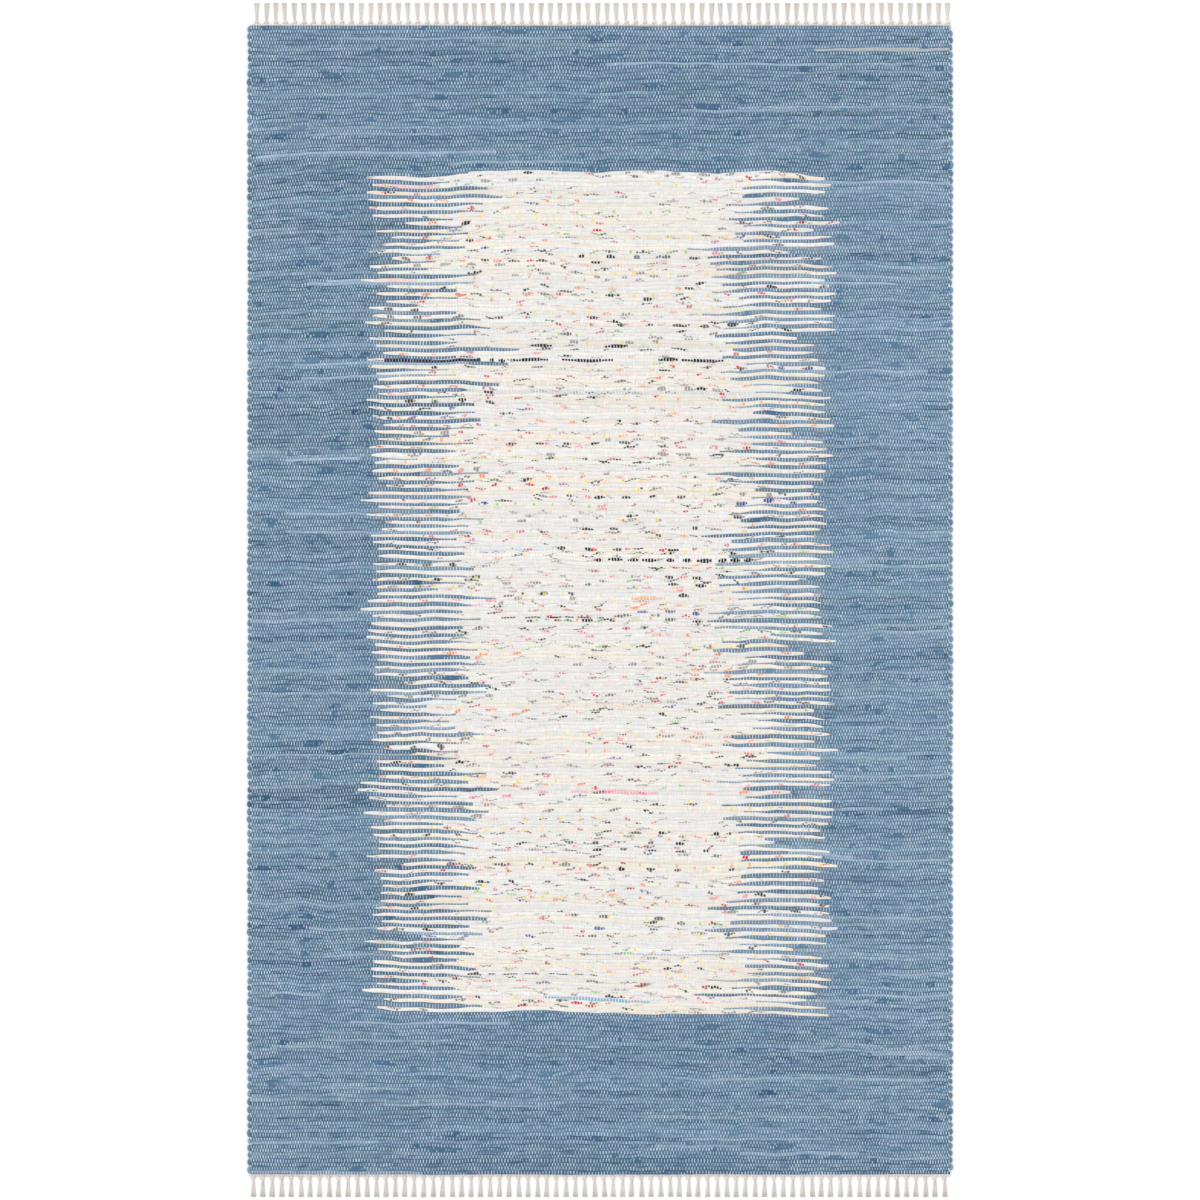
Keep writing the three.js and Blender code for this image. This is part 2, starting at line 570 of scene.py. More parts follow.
def printed(nodes, base, weave, pale, seed, table_line):
    """Base with one kind of print on it: short strokes along a rag, cut into dashes by the warp ends."""
    colours, rag_length, rags, period, strokes = table_line[:5]
    shortest, longest, high, slope, uneven, fading = table_line[5:]
    place, row, across = weave
    start = nodes.math("FLOOR", nodes.math("MULTIPLY", nodes.random(row, 0.0, seed)[0], 97))
    place = nodes.math("ADD", place, start)
    stroke = nodes.math("FLOOR", nodes.math("DIVIDE", place, period))
    within = nodes.math("MULTIPLY_ADD", stroke, -period, place)
    rag = nodes.math("FLOOR", nodes.math("DIVIDE", place, rag_length))
    rag_chance, rag_random = nodes.random(rag, row, seed + 0.2)
    chance, stroke_random = nodes.random(stroke, row, seed + 0.4)
    _, lean, fade = nodes.split(stroke_random)
    _, size, line = nodes.split(nodes.random(stroke, row, seed + 0.6)[1])
    _, weight, lift = nodes.split(nodes.random(nodes.math("FLOOR", place), row, seed + 0.8)[1])
    shown = nodes.math("LESS_THAN", rag_chance, rags)
    shown = nodes.math("MULTIPLY", shown, nodes.math("LESS_THAN", chance, strokes))
    shown = nodes.math("MULTIPLY", shown, nodes.math("MULTIPLY_ADD", fade, -fading, 1.0))
    shown = nodes.math("MULTIPLY", shown, pale)
    half_length = nodes.math("MULTIPLY_ADD", size, (longest - shortest) / 2, shortest / 2)
    beside = nodes.math("SUBTRACT", nodes.math("DIVIDE", within, half_length), 1.0)
    half_height = nodes.math("MULTIPLY_ADD", weight, 2 * uneven * high, (1 - uneven) * high)
    middle = nodes.math("MULTIPLY", beside, nodes.math("MULTIPLY_ADD", lean, 2 * slope, -slope))
    middle = nodes.math("ADD", middle, nodes.math("MULTIPLY_ADD", line, 0.36, -0.18))
    middle = nodes.math("ADD", middle, nodes.math("MULTIPLY_ADD", lift, 0.5 * uneven, -0.25 * uneven))
    above = nodes.math("DIVIDE", nodes.math("SUBTRACT", across, middle), half_height)
    off_middle = nodes.math("ADD", nodes.math("POWER", beside, 2), nodes.math("POWER", above, 2))
    mark = nodes.math("MULTIPLY", nodes.math("SUBTRACT", 1.15, off_middle), 3)
    mark = nodes.math("MINIMUM", nodes.math("MAXIMUM", mark, 0), 1)
    ink = nodes.pick(nodes.split(rag_random)[1], colours)
    return nodes.mix(nodes.math("MULTIPLY", mark, shown), base, ink)


def weave_place(nodes):
    """Place along the row in gaps between warp ends, row, place across it, and a mask of the underside."""
    place = nodes.add("SeparateXYZ")
    nodes.link(nodes.add("UVMap", uv_map="weave").outputs["UV"], place.inputs[0])
    u, v, _ = place.outputs
    row = nodes.math("FLOOR", v)
    across = nodes.math("SUBTRACT", nodes.math("FRACT", v), 0.5)
    return (u, row, across), nodes.math("LESS_THAN", v, 0.0)


def warp_below(nodes, weave, under):
    """A mask of the warp ends that pass below the rows, seen from underneath."""
    place, _, across = weave
    along = nodes.math("SUBTRACT", nodes.math("FRACT", place), 0.5)
    beside = nodes.math("POWER", nodes.math("DIVIDE", along, 0.22), 2)
    above = nodes.math("POWER", nodes.math("DIVIDE", across, 0.5), 2)
    end = nodes.math("MAXIMUM", nodes.math("SUBTRACT", 1, nodes.math("ADD", beside, above)), 0)
    return nodes.math("MULTIPLY", nodes.math("POWER", end, 0.4), under)


def rag_material():
    """Torn cotton cloth: the rag's own colour and prints, with a fine plain weave and soft creases."""
    nodes = Nodes("rag_cotton")
    where = nodes.add("TexCoord").outputs["Object"]
    stretched = nodes.add("Mapping")
    stretched.inputs["Scale"].default_value = (0.18, 1, 1)
    nodes.link(where, stretched.inputs["Vector"])
    crease = nodes.noise(520, 3, stretched.outputs["Vector"])
    thread = nodes.noise(2600, 1, where)
    rag = nodes.colour("shade")
    weave, under = weave_place(nodes)
    pale = nodes.math("GREATER_THAN", nodes.split(rag)[0], 0.5)
    for number, table_line in enumerate(PRINTS):
        rag = printed(nodes, rag, weave, pale, number + 1.0, table_line)
    end = warp_below(nodes, weave, under)
    rag = nodes.mix(nodes.math("MULTIPLY", end, 0.8), rag, (*linear(WARP_BELOW), 1))
    # Uneven dye, painted shade in the creases, and threads of varying tone
    tone = nodes.add("VectorMath", operation="MULTIPLY_ADD")
    nodes.link(nodes.noise(42, 2, where, "Color"), tone.inputs[0])
    tone.inputs[1].default_value = (0.18, 0.15, 0.14)
    tone.inputs[2].default_value = (0.91, 0.925, 0.93)
    rag = nodes.mix(1.0, rag, tone.outputs[0], "MULTIPLY")
    # painted shade: the colour darkens where the crease noise, and with it the bump, is low
    crease_shade_and_thread_tone = nodes.math("MULTIPLY_ADD", crease, 0.24, 0.88)
    crease_shade_and_thread_tone = nodes.math("MULTIPLY", crease_shade_and_thread_tone, nodes.math("MULTIPLY_ADD", thread, 0.16, 0.92))
    rag = nodes.mix(1.0, rag, nodes.grey(crease_shade_and_thread_tone), "MULTIPLY")
    nodes.link(rag, nodes.shader.inputs["Base Color"])
    nodes.matt(0.92)
    nodes.shader.inputs["Sheen Roughness"].default_value = 0.6
    height = nodes.math("MULTIPLY_ADD", thread, 0.35, crease)
    height = nodes.math("MULTIPLY_ADD", end, 1.6, height)
    nodes.bump(height, 0.5, 0.0006)
    return nodes.material


def yarn_material():
    """Plied ivory cotton yarn."""
    nodes = Nodes("warp_cotton")
    along = nodes.add("UVMap", uv_map="yarn").outputs["UV"]
    ply = nodes.add("TexWave", wave_type="BANDS", bands_direction="DIAGONAL")
    ply.inputs["Scale"].default_value = 0.5
    ply.inputs["Distortion"].default_value = 0.6
    nodes.link(along, ply.inputs["Vector"])
    where = nodes.add("TexCoord").outputs["Object"]
    fibre = nodes.noise(1800, 2, where)
    # painted shade: the ply bands darken where the bump is low, between the plies; the fibre noise is the
    # yarn's own tone
    tone = nodes.math("MULTIPLY_ADD", ply.outputs["Fac"], 0.10, 0.92)
    tone = nodes.math("MULTIPLY", tone, nodes.math("MULTIPLY_ADD", fibre, 0.12, 0.94))
    yarn = nodes.mix(1.0, nodes.colour("shade"), nodes.grey(tone), "MULTIPLY")
    nodes.link(yarn, nodes.shader.inputs["Base Color"])
    nodes.matt(0.9)
    nodes.bump(ply.outputs["Fac"], 0.4, 0.0004)
    return nodes.material


RAG = rag_material()
YARN = yarn_material()


def warp_places():
    """Where each warp end runs: closer near the sides, and crowded in some dents of the reed."""
    even = np.linspace(-1, 1, WARP_ENDS)
    places = even * (1 + 0.05 * (1 - even**2)) * WARP_SPAN / 2
    dents = WARP_ENDS // REED_ENDS + 1
    crowded = rng.normal(0, 0.022, dents).repeat(REED_ENDS)[:WARP_ENDS]
    in_dent = np.arange(WARP_ENDS) % REED_ENDS - (REED_ENDS - 1) / 2
    return places - crowded * in_dent * WARP_SPAN / WARP_ENDS + rng.normal(0, 0.1, WARP_ENDS)


WARP_X = warp_places()
WARP_GAUGE = rng.normal(1, 0.04, WARP_ENDS)  # each end's own thickness, which shows as faint streaks
WARP_GAUGE[[0, -1]] = 1.2  # doubled at both sides

# The weft rows

# Points round a row, the last two on its underside
ROW_ACROSS = np.array([-1, -0.56, 0, 0.56, 1, 0.62, -0.62])  # in shares of half its width
ROW_CROWN = np.array([0, 0.84, 1, 0.84, 0, 0, 0])  # in shares of its rise


@dataclass
class Column:
    """The stretch of all weft rows that becomes one piece."""

    points: list = field(default_factory=list)
    faces: list = field(default_factory=list)
    colours: list = field(default_factory=list)
    bake: list = field(default_factory=list)
    weave: list = field(default_factory=list)
    count: int = 0  # points so far


def row_points(row):
    """The places along a row where it has points: an even step, and the ends of its rags and marks."""
    even = np.arange(-ROW_END + POINT_STEP * rng.random(), ROW_END, POINT_STEP)
    places = [even, [-ROW_END, ROW_END]]
    places += [rag[:2] for rag in row.rags]
    places += [mark[:2] for mark in row.marks]
    x = np.unique(np.concatenate(places).clip(-ROW_END, ROW_END))
    apart = np.diff(x, prepend=-np.inf) > POINT_GAP
    apart[-1] = True
    return x[apart]


def row_colours(row, x):
    """One colour to each lane between two points of a row, scene-linear."""
    middle = (x[1:] + x[:-1]) / 2
    colours = np.zeros((len(middle), LANES, 3))
    for start, end, colour in row.rags:
        colours[(middle >= start) & (middle <= end)] = colour
    if row.changes:
        in_blue = (middle < row.pale[0]) | (middle > row.pale[1])
        colours[in_blue & (np.abs(middle) < FIELD_LONG)] += COMB_SHADE
    streak = np.cumsum(rng.normal(0, 1.6, (len(middle), LANES)), axis=0)
    streak -= streak.mean(axis=0)
    colours += (streak * 0.6 + rng.normal(0, 2.5, (len(middle), LANES))).clip(-9, 9)[..., None]
    for start, end, lane, last_lane, colour in row.marks:
        inside = (middle >= start) & (middle <= end)
        colours[inside, lane:last_lane] = colour
    return linear(colours.clip(0, 250))


def weft_row(number):
    """Places, points, face colours and warp gaps along one weft row."""
    row = rows[number]
    x = row_points(row)
    middle, thick = row_at(number, x)
    crest = crest_height(row, x, thick) + rng.normal(0, 0.12, len(x))
    half = thick * ROW_HALF_WIDTH
    lean = rng.normal(0, 0.06, len(x)) * thick
    points = np.empty((len(x), RING, 3))
    points[..., 0] = x[:, None]
    points[..., 1] = middle[:, None] + half[:, None] * ROW_ACROSS
    points[:, 1:LANES, 1] += lean[:, None]
    points[..., 2] = ROW_EDGE_HEIGHT + (crest - ROW_EDGE_HEIGHT)[:, None] * ROW_CROWN
    points[:, -2:, 2] = ROW_UNDERSIDE
    colours = row_colours(row, x)
    under = colours.mean(axis=1, keepdims=True).repeat(UNDER_LANES, axis=1)
    passes = WARP_X[number % 2 :: 2]
    gaps = np.interp(x, passes, np.arange(len(passes)))
    return x, points, np.concatenate([colours, under], axis=1), gaps


def face_corners(values):
    """Values at the points along a row, set out at the corners of its faces."""
    corners = np.stack([values[:-1], values[1:], values[1:], values[:-1]], axis=-1)
    return corners[:, None, :].repeat(RING, axis=1)


def add_row_part(part, number, points, colours, gaps, span):
    """Adds a stretch of one row to a column that covers span."""
    steps = len(points) - 1
    start = np.arange(steps)[:, None] * RING
    ring = np.arange(RING)[None, :]
    after = (ring + 1) % RING
    faces = [start + ring, start + RING + ring, start + RING + after, start + after]
    part.faces.append(np.stack(faces, axis=-1).reshape(-1, 4) + part.count)
    part.points.append(points.reshape(-1, 3))
    part.colours.append(colours.reshape(-1, 1, 3).repeat(4, axis=1))
    part.count += len(points) * RING
    u = face_corners((points[:, 0, 0] - span[0]) / (span[1] - span[0]))
    v = np.stack([ring, ring, ring + 1, ring + 1], axis=-1).repeat(steps, axis=0)
    top = (v <= LANES).all(axis=-1, keepdims=True)
    # The upper side takes up the left of the baked map, the underside its right
    u = np.where(top, 0.01 + 0.66 * u, 0.69 + 0.30 * u)
    v = np.where(top, v / LANES, (v - LANES) / UNDER_LANES)
    part.bake.append(np.stack([u, (number + 0.04 + 0.92 * v) / WEFT_ROWS], axis=-1).reshape(-1, 2))
    across = number + 0.01 + 0.98 * v
    weave = np.stack([face_corners(gaps), np.where(top, across, -across)], axis=-1)
    part.weave.append(weave.reshape(-1, 2))


def weft_pieces(columns):
    """The weft rows, cut into full-length columns so that no piece has too many faces."""
    cuts = np.linspace(-ROW_END, ROW_END, columns + 1)
    parts = [Column() for _ in range(columns)]
    for number in range(WEFT_ROWS):
        x, points, colours, gaps = weft_row(number)
        middle = (x[1:] + x[:-1]) / 2
        column = np.searchsorted(cuts, middle).clip(1, columns) - 1
        for index, part in enumerate(parts):
            here = np.flatnonzero(column == index)
            stretch = slice(here[0], here[-1] + 2)
            span = cuts[index : index + 2]
            add_row_part(part, number, points[stretch], colours[here], gaps[stretch], span)
    pieces = []
    for index, part in enumerate(parts):
        points, faces, colours = map(np.concatenate, (part.points, part.faces, part.colours))
        maps = {"OFBake": np.concatenate(part.bake), "weave": np.concatenate(part.weave)}
        pieces.append(make_piece(f"weft_rows_{index + 1}", points, faces, colours, maps, RAG))
    return pieces


weft = weft_pieces(COLUMNS)

# The warp where it passes over the weft

# A warp end over a row: seven points, at shares of its width and length and at a height over the row
STITCH = np.array([
    # across, along, share of the crest height, lift
    (0.0, -0.50, 0.0, ROW_EDGE_HEIGHT + 0.15),
    (-0.5, -0.32, 1.0, -0.2),
    (0.5, -0.32, 1.0, -0.2),
    (-0.5, 0.32, 1.0, -0.2),
    (0.5, 0.32, 1.0, -0.2),
    (0.0, 0.50, 0.0, ROW_EDGE_HEIGHT + 0.15),
    (0.0, 0.0, 1.0, 0.6),
])
STITCH_FACES = np.array([(6, 0, 2), (6, 2, 4), (6, 4, 5), (6, 5, 3), (6, 3, 1), (6, 1, 0)])
STITCH_LENGTH = 1.08  # in shares of the row's thickness
STITCH_LENGTH_IN_PALE = 1.2
STITCH_LENGTH_AT_SIDE = 0.7
IN_PALE, IN_BLUE, IN_DARK, AT_SIDE = range(4)
STITCH_COLOURS = np.array([(234, 231, 227), (187, 206, 224), (140, 148, 162), (214, 216, 219)])


def warp_stitches():
    """Place, width, length, crest height and kind of each pass of a warp end over a row."""
    found = []
    cover = smooth_noise(WEFT_ROWS, 70)
    for number, row in enumerate(rows):
        x = WARP_X[number % 2 :: 2]
        x = x + rng.normal(0, 0.1, len(x))
        middle, thick = row_at(number, x)
        tight = 1 + 0.35 * (1 - thick / ROW_PITCH) - 0.12 * np.interp(x, GRID_X, cover[number])
        in_blue = (x < row.pale[0]) | (x > row.pale[1])
        width = np.where(in_blue, WARP_WIDTH, WARP_WIDTH_IN_PALE) * WARP_GAUGE[number % 2 :: 2]
        width *= tight.clip(0.6, 1.35) * rng.normal(1, 0.07, len(x))
        length = np.where(in_blue, STITCH_LENGTH, STITCH_LENGTH_IN_PALE) * thick
        shown = np.ones(len(x), bool)
        for start, end in row.knots:
            off_middle = np.abs(x - (start + end) / 2) / (end - start)
            inside = off_middle < 0.5
            rim = (off_middle < 0.8) & ~inside
            shown &= ~inside | (rng.random(len(x)) < 0.4)
            width = np.where(inside, 0.6 * width, width)
            length = np.where(inside | rim, rng.uniform(0.5, 0.9, len(x)) * length, length)
            middle = middle + rim * rng.choice([-0.2, 0.2], len(x)) * thick
        kind = np.where(in_blue, IN_BLUE, IN_PALE)
        for start, end in row.dark:
            kind = np.where((x > start) & (x < end), IN_DARK, kind)
        # The outermost end shows in the notch between two loops
        at_side = np.abs(x) > WARP_SPAN / 2 - 2
        middle = middle + at_side * np.sign(x) * thick / 2
        x = x - at_side * np.sign(x) * 1.5
        length = np.where(at_side, STITCH_LENGTH_AT_SIDE * thick, length)
        kind = np.where(at_side, AT_SIDE, kind)
        crest = crest_height(row, x, thick)
        found.append(np.stack([x, middle, width, length, crest, kind], axis=1)[shown])
    return np.concatenate(found)


def stitch_piece(name, stitches, span):
    count = len(stitches)
    x, middle, width, length, crest = stitches.T[:5, :, None]
    across, along, share, lift = STITCH.T
    slant = rng.normal(0, 0.25, (count, 1))
    points = np.stack(
        [
            x + across * width + slant * along * 2,
            middle + along * length,
            crest * share + lift + 0 * x,
        ],
        axis=-1,
    )
    faces = STITCH_FACES + np.arange(count)[:, None, None] * len(STITCH)
    colours = STITCH_COLOURS[stitches[:, 5].astype(int)]
    colours = colours + rng.normal(0, 7, (count, 1)) + rng.normal(0, 3, (count, 3))
    colours = linear(colours.clip(0, 250))[:, None, :].repeat(STITCH_FACES.size, axis=1)
    corner = points[:, STITCH_FACES.ravel()]
    u = (corner[..., 0] - span[0]) / (span[1] - span[0])
    v = corner[..., 1] / (WOVEN_LENGTH + 10) + 0.5
    bake = np.stack([u, v], axis=-1)
    yarn = np.stack([across * 2, along * 5], axis=-1)[STITCH_FACES.ravel()]
    yarn = yarn[None] + rng.random((count, 1, 2))
    maps = {"OFBake": bake, "yarn": yarn}
    return make_piece(name, points.reshape(-1, 3), faces.reshape(-1, 3), colours, maps, YARN)


def warp_pieces(columns):
    stitches = warp_stitches()
    cuts = np.linspace(-WARP_SPAN / 2 - 5, WARP_SPAN / 2 + 5, columns + 1)
    pieces = []
    for index in range(columns):
        span = cuts[index : index + 2]
        here = (stitches[:, 0] >= span[0]) & (stitches[:, 0] < span[1])
        pieces.append(stitch_piece(f"warp_stitches_{index + 1}", stitches[here], span))
    return pieces


warp = warp_pieces(COLUMNS)

# Round yarns and rag loops


def tubes(paths, wide, high, sides):
    """Tubes along paths of shape (count, points, 3), wide in the floor's plane and high upright."""
    ahead = np.gradient(paths, axis=1)
    side = np.stack([-ahead[..., 1], ahead[..., 0], np.zeros(ahead.shape[:2])], axis=-1)
    side /= np.linalg.norm(side, axis=-1, keepdims=True).clip(1e-9)
    turn = 2 * np.pi * (np.arange(sides) + 0.5) / sides
    wide = np.broadcast_to(wide, paths.shape[:2])[..., None, None]
    high = np.broadcast_to(high, paths.shape[:2])[..., None, None]
    ring = side[..., None, :] * wide * np.cos(turn)[:, None]
    ring = ring + np.array([0, 0, 1.0]) * high * np.sin(turn)[:, None]
    points = paths[..., None, :] + ring
    count, length = paths.shape[:2]
    place = np.arange(count * length * sides).reshape(count, length, sides)
    after = np.roll(place, -1, axis=2)
    around = np.stack([place[:, :-1], after[:, :-1], after[:, 1:], place[:, 1:]], axis=-1).reshape(-1, 4)
    caps = []
    for first in range(1, sides - 2, 2):
        corner = [0, first, first + 1, first + 2]
        caps.append(place[:, 0, corner[::-1]])
        caps.append(place[:, -1, corner])
    along = np.arange(length)[:, None] * 1.6
    yarn_map = np.stack(np.broadcast_arrays(np.arange(sides) * 0.8, along), axis=-1)
    yarn_map = np.broadcast_to(yarn_map, (count, length, sides, 2)).reshape(-1, 2)
    return points.reshape(-1, 3), np.concatenate([around] + caps), yarn_map


def tube_piece(name, groups, box, material):
    """One piece of several groups of tubes, each its points, faces and map, and colours to its points."""
    points, faces, colours, yarn = [], [], [], []
    before = 0
    for (group_points, group_faces, group_map), shade in groups:
        points.append(group_points)
        faces.append(group_faces + before)
        colours.append(shade)
        yarn.append(group_map)
        before += len(group_points)
    points = np.concatenate(points)
    faces = np.concatenate(faces)
    low, high = box
    bake = ((points[:, :2] - low) / (np.array(high) - low))[faces.ravel()]
    maps = {"OFBake": bake, "yarn": np.concatenate(yarn)[faces.ravel()]}
    return make_piece(name, points, faces, np.concatenate(colours)[faces.ravel()], maps, material)


# Half width along a loop, in rows: the loops at the left are drawn tighter
LEFT_SWELL = np.array([0.60, 0.56, 0.46, 0.42, 0.46, 0.56, 0.60])
RIGHT_SWELL = np.array([0.52, 0.51, 0.48, 0.46, 0.48, 0.51, 0.52])
LOOP_POINTS = len(LEFT_SWELL)
LOOP_SIDES = 6
LOOP_REACH = 6.0  # from its two rows' ends out to its turn
LOOP_ROOT = 3.0  # how far it starts inside its rows
LOOP_HEIGHT = 3.0  # of its middle line over the floor
LOOP_HALF_HEIGHT = 2.5


def selvedge_loops(side):
    """The turns of the weft at one side: each joins two rows."""
    first = 0 if side < 0 else 1
    numbers = np.arange(first, WEFT_ROWS - 1, 2)
    angle = np.linspace(-np.pi / 2, np.pi / 2, LOOP_POINTS)
    swell = LEFT_SWELL if side < 0 else RIGHT_SWELL
    paths, wide, colours = [], [], []
    for number in numbers:
        ends = [row_at(number + step, np.array([side * ROW_END])) for step in (0, 1)]
        (low, low_thick), (high, high_thick) = ends
        y = (low + high) / 2 + (high - low) / 2 * np.sin(angle)
        out = LOOP_REACH * np.sqrt(np.cos(angle).clip(0, 1))
        x = side * (ROW_END - LOOP_ROOT + out + rng.normal(0, 0.6))
        z = LOOP_HEIGHT + 0.3 * np.sin(2 * angle)
        paths.append(np.stack([x, y, z], axis=-1))
        wide.append(np.linspace(low_thick[0], high_thick[0], LOOP_POINTS) * swell)
        rag = rows[number].rags[0 if side < 0 else -1][2]
        # painted light: each loop's colour is lifted to offset the shade on its round sides
        colours.append(linear((rag + LOOP_PAINTED_LIGHT + rng.normal(0, 5)).clip(0, 255)))
    shape = tubes(np.array(paths), np.array(wide), LOOP_HALF_HEIGHT, LOOP_SIDES)
    shade = np.array(colours).repeat(LOOP_POINTS * LOOP_SIDES, axis=0)
    edge = side * RUG_WIDTH / 2
    box = ((edge - 20, -WOVEN_LENGTH / 2), (edge + 20, WOVEN_LENGTH / 2))
    name = "weft_loops_left" if side < 0 else "weft_loops_right"
    return tube_piece(name, [(shape, shade)], box, RAG)


loops = [selvedge_loops(side) for side in (-1, 1)]


# The fringe

YARN_IVORY = np.array([222, 214, 207])
HEADER_TONE_AND_PAINTED_LIGHT = 1.25  # of the header against the yarns below it: partly its paler yarn, mostly painted light against the shade between it and the cloth's edge
# painted light: the knots are lightened against the shade in and around them
KNOT_PAINTED_LIGHT = 1.12
YARN_SIDES = 4
KNOT_SIDES = 8
TASSEL_YARNS = 7  # warp ends in one tassel
YARN_SLOTS = np.arange(TASSEL_YARNS) - (TASSEL_YARNS - 1) / 2

# One slanted turn of the twined header over a warp end
HEADER_TURN = np.array([
    # across from the warp end, along from the cloth, height, half width, half height
    (-1.3, -0.4, 3.2, 1.1, 1.0),
    (-0.3, 1.3, 4.3, 1.5, 1.5),
    (0.5, 3.0, 4.3, 1.5, 1.5),
    (1.4, 4.4, 3.0, 1.1, 1.0),
])

# The yarns of a tassel below its knot
TASSEL_YARN = np.array([
    # share of the length, distance apart, height, half width, half height, crossing, lifting
    (0.17, 0.52, 2.6, 0.80, 0.90, 1.0, 1.0),
    (0.24, 0.42, 2.2, 0.85, 0.90, 1.0, 1.0),
    (0.42, 0.80, 1.7, 0.90, 0.90, 0.8, 0.5),
    (0.68, 1.24, 1.3, 0.95, 0.85, 0.4, 0.2),
    (1.00, 1.72, 1.0, 1.00, 0.80, 0.0, 0.0),
])

# A tassel's knot
KNOT_LENGTH = 6.2
KNOT_FORM = np.array([
    # share of the length, half width, half height
    (-0.2, 2.9, 1.4),
    (0.25, 4.4, 2.4),
    (0.75, 4.0, 2.3),
    (1.15, 2.0, 1.2),
])


def ivory(count, spread):
    colours = YARN_IVORY + rng.normal(0, spread, (count, 1)) + rng.normal(0, 1.5, (count, 3))
    return linear(colours.clip(0, 255))


def header_turns(start):
    """The header: a twined pair of yarns, shown by its slanted turns."""
    across, along, height, half_width, half_height = HEADER_TURN.T
    x = WARP_X + rng.normal(0, 0.15, WARP_ENDS)
    path = np.stack(np.broadcast_arrays(x[:, None] + across, start + along, height), axis=-1)
    shape = tubes(path, half_width, half_height, YARN_SIDES)
    # partly the header's paler yarn, mostly painted light that offsets the shade it lies in
    return shape, ivory(WARP_ENDS, 5).repeat(len(HEADER_TURN) * YARN_SIDES, axis=0) * HEADER_TONE_AND_PAINTED_LIGHT


def tassel_yarns(foot, centre, lean):
    """The warp ends below the knots, crossed a little and spread towards their cut tips."""
    share, apart, height, half_width, half_height, crossing, lifting = TASSEL_YARN.T
    cut = rng.normal(0, 0.35, (TASSEL_COUNT, TASSEL_YARNS)).clip(-0.6, 0.6)
    tip = foot + TASSEL_LENGTH - 0.7 + cut
    order = rng.permuted(np.tile(YARN_SLOTS, (TASSEL_COUNT, 1)), axis=1)[..., None]
    across = YARN_SLOTS[None, :, None] * apart + 0.10 * order * crossing
    x = centre[:, None, None] + lean[:, None, None] * share + across
    y = foot + (tip - foot)[..., None] * share
    z = height * (1 + 0.22 * np.sign(order) * lifting)
    path = np.stack(np.broadcast_arrays(x, y, z), axis=-1).reshape(-1, len(TASSEL_YARN), 3)
    shape = tubes(path, half_width, half_height, YARN_SIDES)
    return shape, ivory(len(path), 6).repeat(len(TASSEL_YARN) * YARN_SIDES, axis=0)


def tassel_feet(foot, centre, knot_side):
    """The warp ends from the header into the knots."""
    start_x = centre[:, None] + YARN_SLOTS * 1.45
    end_x = (centre + knot_side)[:, None] + YARN_SLOTS * 0.9
    start = np.stack(np.broadcast_arrays(start_x, foot - 1.0, 1.3), axis=-1)
    end = np.stack(np.broadcast_arrays(end_x, foot + 3.5, 2.4), axis=-1)
    path = np.stack([start, end], axis=2).reshape(-1, 2, 3)
    shape = tubes(path, 0.85, 0.9, YARN_SIDES)
    return shape, ivory(len(path), 5).repeat(2 * YARN_SIDES, axis=0)


def tassel_knots(foot, centre, knot_side):
    share, half_width, half_height = KNOT_FORM.T
    x = centre[:, None] + knot_side[:, None] * (1 - share * 0.8)
    y = foot + 1.2 + KNOT_LENGTH * share
    path = np.stack(np.broadcast_arrays(x, y, 2.5), axis=-1)
    shape = tubes(path, half_width, half_height, KNOT_SIDES)
    # painted light: the knots are lightened to offset their own shade
    return shape, ivory(TASSEL_COUNT, 4).repeat(len(KNOT_FORM) * KNOT_SIDES, axis=0) * KNOT_PAINTED_LIGHT


def knot_wraps(foot, centre, knot_side):
    """One turn of yarn laid over each knot."""
    arc = np.linspace(-1, 1, 5)
    x = centre[:, None] + knot_side[:, None] + 4.3 * arc
    y = foot + 4.0 + 1.6 * arc
    z = 3.0 + 2.0 * (1 - arc**2)
    path = np.stack(np.broadcast_arrays(x, y, z), axis=-1)
    shape = tubes(path, 1.1, 0.9, YARN_SIDES)
    return shape, ivory(TASSEL_COUNT, 4).repeat(len(arc) * YARN_SIDES, axis=0)


def fringe(name, turn, shift):
    """One end's header and tassels, made at the far end and turned for the near one."""
    start = WOVEN_LENGTH / 2 + FRINGE_GAP
    foot = start + HEADER_DEPTH
    groups = [header_turns(start)]
    centre = (np.arange(TASSEL_COUNT) - (TASSEL_COUNT - 1) / 2) * TASSEL_PITCH + shift
    lean = rng.normal(0, 0.8, TASSEL_COUNT)
    knot_side = 1.0 + rng.normal(0, 0.4, TASSEL_COUNT)
    groups.append(tassel_yarns(foot, centre, lean))
    for part in (tassel_feet, tassel_knots, knot_wraps):
        groups.append(part(foot, centre, knot_side))
    about = np.array([turn, turn, 1])
    turned = [((points * about, faces, yarn), shade) for (points, faces, yarn), shade in groups]
    far = foot + TASSEL_LENGTH + 5
    box = ((-770, start - 5), (770, far)) if turn > 0 else ((-770, -far), (770, 5 - start))
    return tube_piece(name, turned, box, YARN)


fringe_far = fringe("fringe_far_yarns", 1, FAR_SHIFT)
fringe_near = fringe("fringe_near_yarns", -1, NEAR_SHIFT)


LAYER_TOP = 4.0
LAYER_THICKNESS = 1.0


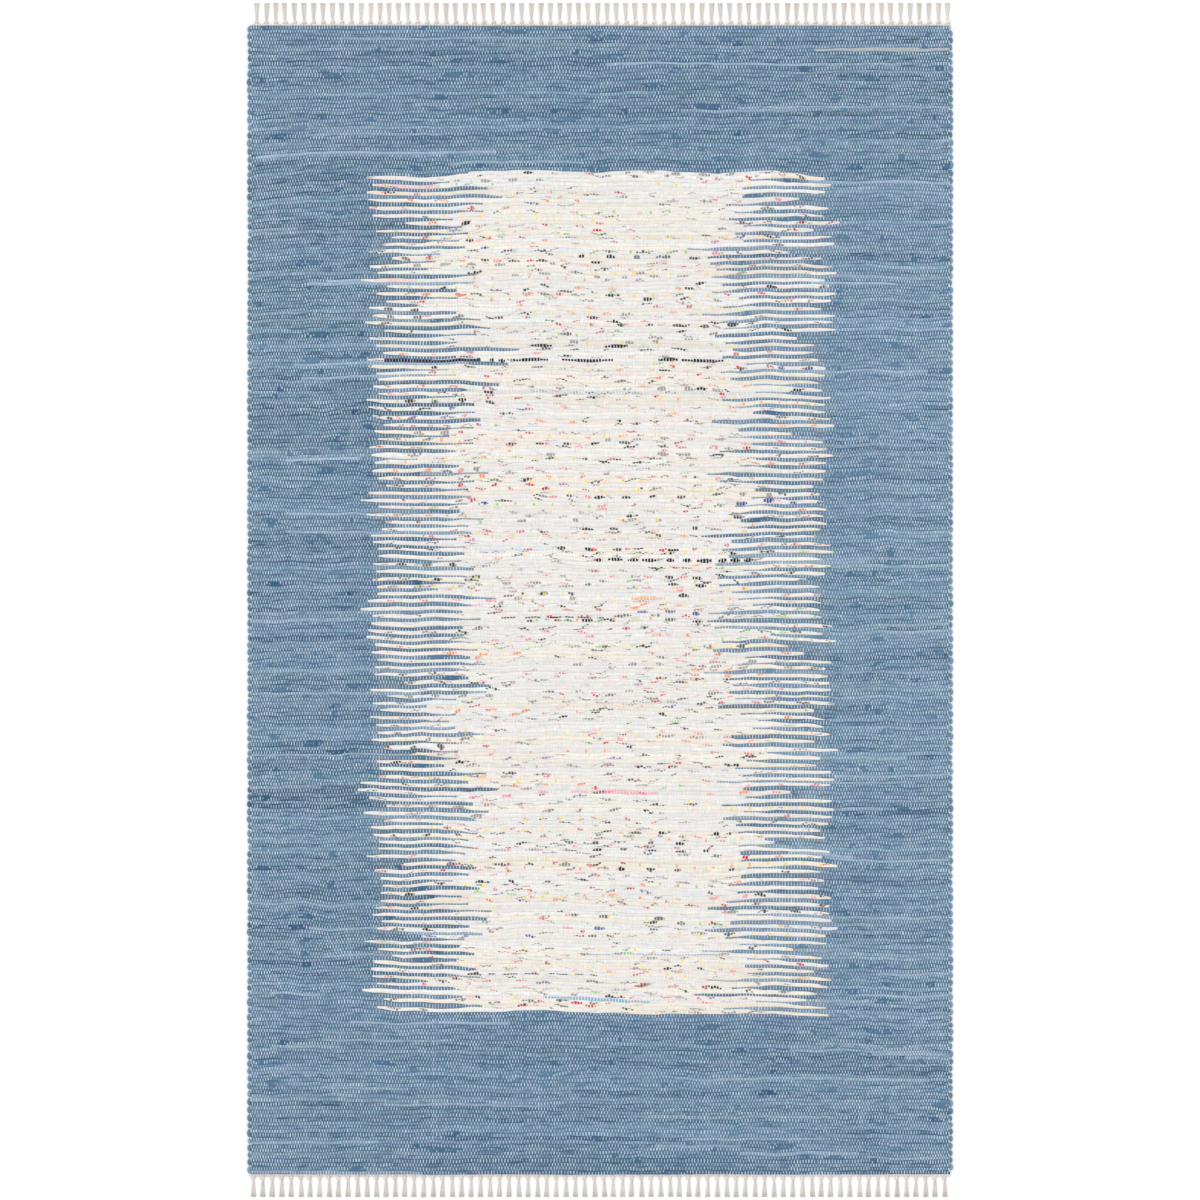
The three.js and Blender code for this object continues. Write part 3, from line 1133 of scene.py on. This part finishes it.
def warp_layer():
    """The layer of warp ends between the upper and lower sides of the weft, as one thin flat sheet."""
    across = np.linspace(-ROW_END + 3, ROW_END - 3, 13)
    along = np.linspace(-WOVEN_LENGTH / 2 + 2, WOVEN_LENGTH / 2 - 2, 21)
    x, y = np.meshgrid(across, along, indexing="ij")
    top = np.stack([x, y, np.full_like(x, LAYER_TOP)], axis=-1)
    low = top - [0, 0, LAYER_THICKNESS]
    points = np.concatenate([top.reshape(-1, 3), low.reshape(-1, 3)])
    place = np.arange(x.size).reshape(x.shape)
    corners = [place[:-1, :-1], place[1:, :-1], place[1:, 1:], place[:-1, 1:]]
    upper = np.stack(corners, axis=-1).reshape(-1, 4)
    rim = np.concatenate([place[:-1, 0], place[-1, :-1], place[:0:-1, -1], place[0, :0:-1]])
    after = np.roll(rim, -1)
    walls = np.stack([rim, rim + x.size, after + x.size, after], axis=-1)
    faces = np.concatenate([upper, upper[:, ::-1] + x.size, walls])
    colours = ivory(1, 0).repeat(faces.size, axis=0)
    flat = points[:, :2] / [RUG_WIDTH, WOVEN_LENGTH] + 0.5
    maps = {"OFBake": flat[faces.ravel()], "yarn": flat[faces.ravel()] * [WARP_ENDS, 2]}
    return make_piece("warp_layer", points, faces, colours, maps, YARN)


layer = warp_layer()

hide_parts("woven_cloth")
for piece in weft + loops:
    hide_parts("woven_cloth")
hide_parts("fringe_far")
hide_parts("fringe_near")


def studio():
    """A plain pale floor, an even sky and one large soft light from the far left."""
    mesh = bpy.data.meshes.new("floor")
    reach = 20.0
    corners = [(-reach, -reach, 0), (reach, -reach, 0), (reach, reach, 0), (-reach, reach, 0)]
    mesh.from_pydata(corners, [], [(0, 1, 2, 3)])
    floor = bpy.data.objects.new("floor", mesh)
    bpy.context.scene.collection.objects.link(floor)
    nodes = Nodes("pale_floor")
    nodes.shader.inputs["Base Color"].default_value = (0.93, 0.93, 0.93, 1)
    nodes.shader.inputs["Roughness"].default_value = 1.0
    nodes.shader.inputs["Specular IOR Level"].default_value = 0.0
    mesh.materials.append(nodes.material)
    world = bpy.data.worlds.new("studio")
    bpy.context.scene.world = world
    world.use_nodes = True
    sky = world.node_tree.nodes["Background"]
    sky.inputs["Color"].default_value = (1, 1, 1, 1)
    sky.inputs["Strength"].default_value = 0.80
    lamp = bpy.data.lights.new("soft_light", "SUN")
    lamp.energy = 1.1
    lamp.angle = math.radians(40)
    light = bpy.data.objects.new("soft_light", lamp)
    light.rotation_euler = (math.radians(-22), math.radians(-14), 0)
    bpy.context.scene.collection.objects.link(light)


def camera():
    """Straight above the rug, with the frame of the photograph."""
    frame_height = 2.594
    lens = bpy.data.cameras.new("camera")
    lens.lens = 85
    lens.sensor_width = 36
    eye = bpy.data.objects.new("camera", lens)
    eye.location = (0, 0, frame_height * lens.lens / lens.sensor_width)
    bpy.context.scene.collection.objects.link(eye)
    bpy.context.scene.camera = eye


studio()
camera()
bpy.context.scene.view_settings.view_transform = "Standard"
